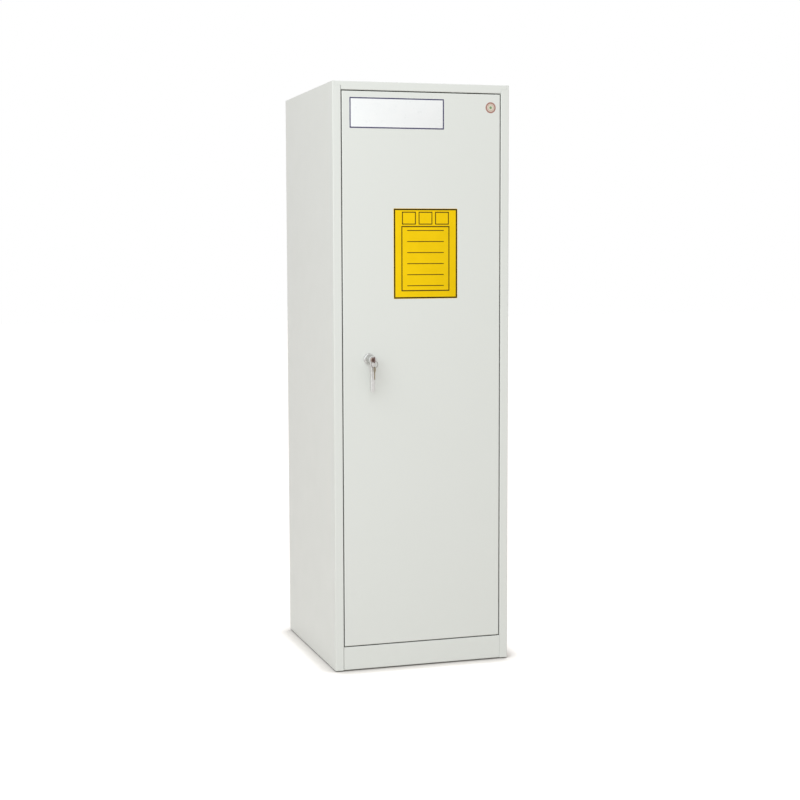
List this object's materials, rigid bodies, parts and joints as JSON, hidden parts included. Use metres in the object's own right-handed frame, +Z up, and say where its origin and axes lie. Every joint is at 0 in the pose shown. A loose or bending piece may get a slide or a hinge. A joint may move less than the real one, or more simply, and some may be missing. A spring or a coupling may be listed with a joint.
{
  "type": "one-door reagent safety cabinet",
  "caption": "Tall free-standing sheet-steel cabinet for bottled reagents, with a flush hinged door, a locking lever handle, shelves and a spill tray inside.",
  "frame": {"origin": "on the floor, under the middle of the whole object from the keys in the door to the back flanges", "axes": "+Z up, -Y out of the door, +X to the right as seen from the front"},
  "size_m": [0.6, 0.6686, 1.9],
  "materials": {
    "body_paint": "light warm-grey powder coat, fine texture, semi-matt",
    "zinc_steel": "zinc-plated, dull",
    "lock_chrome": "satin chrome on die-cast zinc",
    "lock_brass": "nickel-plated brass, worn",
    "key_metal": "nickel-plated brass, stamped flat",
    "ring_steel": "nickel-plated spring wire",
    "nylon": "natural nylon",
    "rubber": "matt black",
    "tray_plastic": "moulded polypropylene, matt",
    "white_plate": "blank white face with a dark blue border, semi-gloss",
    "yellow_card": "yellow laminated card with ruled lines, no words, semi-gloss",
    "badge": "plain rings, semi-gloss"
  },
  "bodies": {
    "frame": {"left_side_panel": "body_paint", "right_side_panel": "body_paint", "back_panel": "body_paint", "roof_panel": "body_paint", "plinth_rail": "body_paint", "floor_pan": "body_paint", "foot_rails": "body_paint", "levelling_feet": "zinc_steel", "foot_lock_nuts": "zinc_steel", "spill_tray": "tray_plastic", "upright_left_front": "body_paint", "upright_left_rear": "body_paint", "upright_right_front": "body_paint", "upright_right_rear": "body_paint", "shelf_lower": "body_paint", "shelf_middle": "body_paint", "shelf_upper": "body_paint", "shelf_clips_lower": "zinc_steel", "shelf_clips_middle": "zinc_steel", "shelf_clips_upper": "zinc_steel", "door_buffers": "rubber", "pivot_bracket_top": "zinc_steel", "pivot_bracket_bottom": "zinc_steel", "pivot_pin_top": "zinc_steel", "pivot_pin_bottom": "zinc_steel", "pivot_washer": "nylon"},
    "door": {"door_skin": "body_paint", "door_inner_panel": "body_paint", "inner_panel_screws": "zinc_steel", "door_stiffener": "body_paint", "pivot_plate_top": "zinc_steel", "pivot_plate_bottom": "zinc_steel", "pivot_bush_top": "nylon", "pivot_bush_bottom": "nylon", "name_plate": "white_plate", "contents_card": "yellow_card", "round_badge": "badge", "handle_rose": "lock_chrome", "lock_nut": "zinc_steel", "rod_guide_top": "nylon", "rod_guide_upper": "nylon", "rod_guide_lower": "nylon", "rod_guide_bottom": "nylon"},
    "handle": {"lever_handle": "lock_chrome", "handle_spindle": "zinc_steel", "rod_cam": "zinc_steel", "cam_screw": "zinc_steel"},
    "key": {"lock_plug": "lock_brass", "lock_key": "key_metal"},
    "ring": {"key_ring": "ring_steel"},
    "spare": {"spare_key": "key_metal"},
    "upper_rod": {"upper_rod": "zinc_steel"},
    "lower_rod": {"lower_rod": "zinc_steel"}
  },
  "joints": [
    {"name": "door_hinge", "type": "hinge", "parent": "frame", "child": "door", "pos_m": [0.2565, -0.2567, 0.9765], "axis": [0, 0, 1], "range_deg": [0, 110]},
    {"name": "handle_turn", "type": "hinge", "parent": "door", "child": "handle", "pos_m": [-0.1825, -0.2657, 1.019], "axis": [0, -1, 0], "range_deg": [0, 90]},
    {"name": "upper_rod_slide", "type": "slide", "parent": "door", "child": "upper_rod", "axis": [0, 0, 1], "range_m": [0, 0.02829]},
    {"name": "lower_rod_slide", "type": "slide", "parent": "door", "child": "lower_rod", "axis": [0, 0, -1], "range_m": [0, 0.02829]},
    {"name": "key_turn", "type": "hinge", "parent": "handle", "child": "key", "pos_m": [-0.1825, -0.308, 1.019], "axis": [0, 1, 0], "range_deg": [0, 90]},
    {"name": "ring_swing", "type": "hinge", "parent": "key", "child": "ring", "pos_m": [-0.1825, -0.3243, 1.01223], "axis": [0, 1, 0], "range_deg": [-90, 90]},
    {"name": "spare_key_swing", "type": "hinge", "parent": "ring", "child": "spare", "pos_m": [-0.1825, -0.3243, 0.99678], "axis": [0, 1, 0], "range_deg": [-60, 60]}
  ],
  "couplings": [
    {"joint": "upper_rod_slide", "follows": "handle_turn", "m_per_rad": 0.018006},
    {"joint": "lower_rod_slide", "follows": "handle_turn", "m_per_rad": 0.018006}
  ]
}
